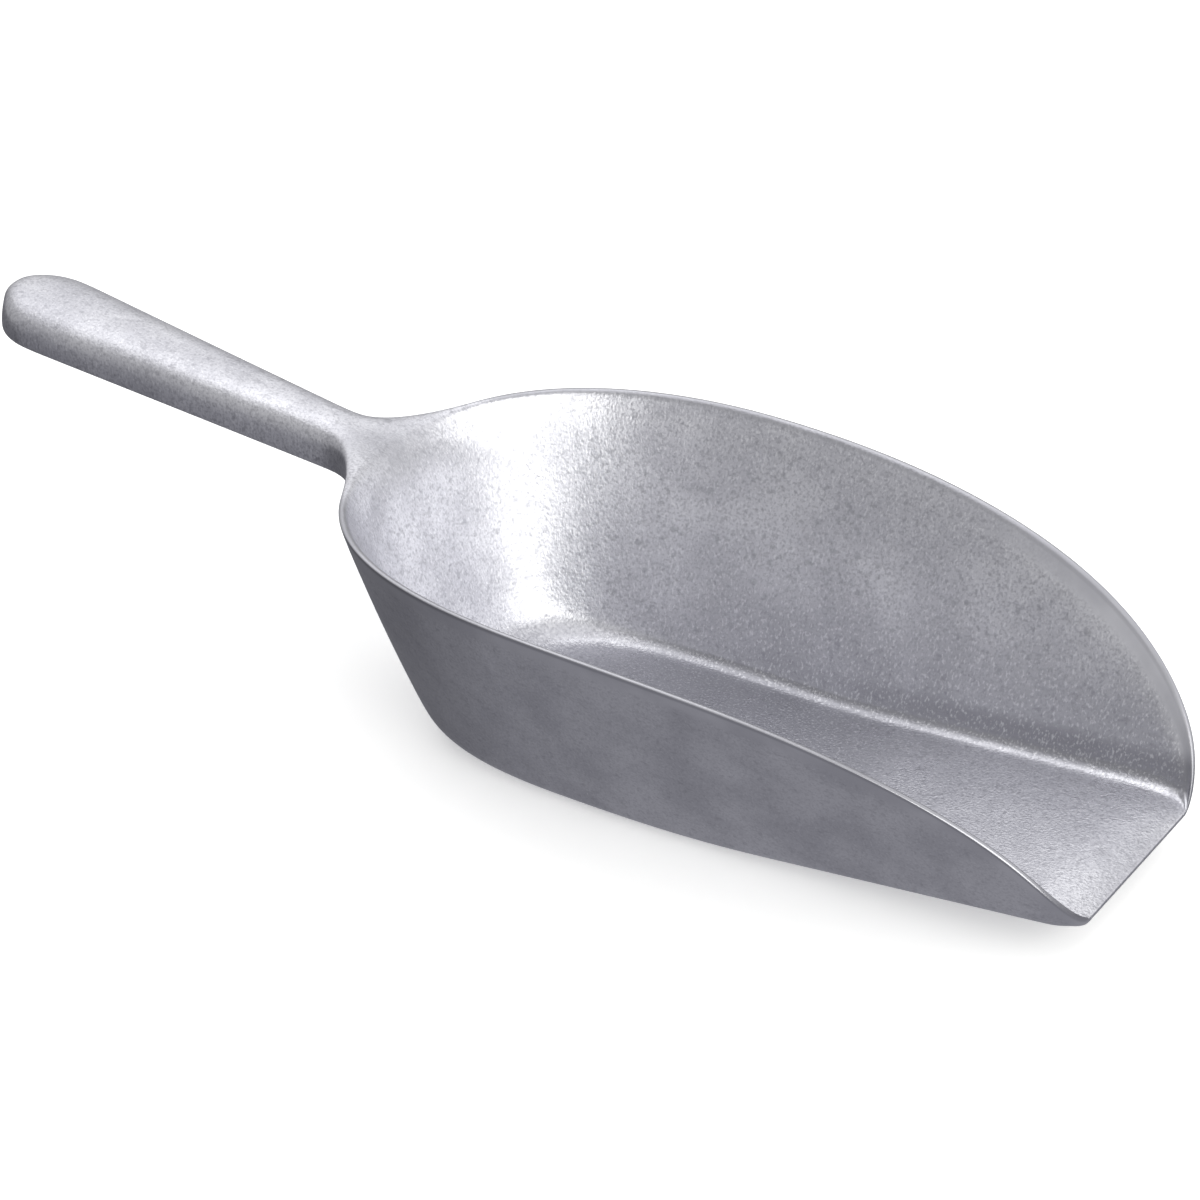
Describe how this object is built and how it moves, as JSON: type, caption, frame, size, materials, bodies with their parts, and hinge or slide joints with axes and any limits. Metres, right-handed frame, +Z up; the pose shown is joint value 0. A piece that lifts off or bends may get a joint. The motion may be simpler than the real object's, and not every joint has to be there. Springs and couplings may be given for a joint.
{
  "type": "ice scoop",
  "caption": "Cast metal scoop with an open, flat-bottomed bowl, drafted walls, a raised lip and a crowned handle.",
  "frame": {"origin": "on the flat of the base, below the widest station of the bowl, midway across it", "axes": "+X along the scoop towards the lip, with the handle at -X; +Y across it; +Z up out of the bowl"},
  "size_m": [0.3227, 0.1248, 0.0761],
  "materials": {
    "cast_aluminium": "satin"
  },
  "bodies": {
    "root": {"bowl": "cast_aluminium", "handle": "cast_aluminium"}
  },
  "joints": []
}
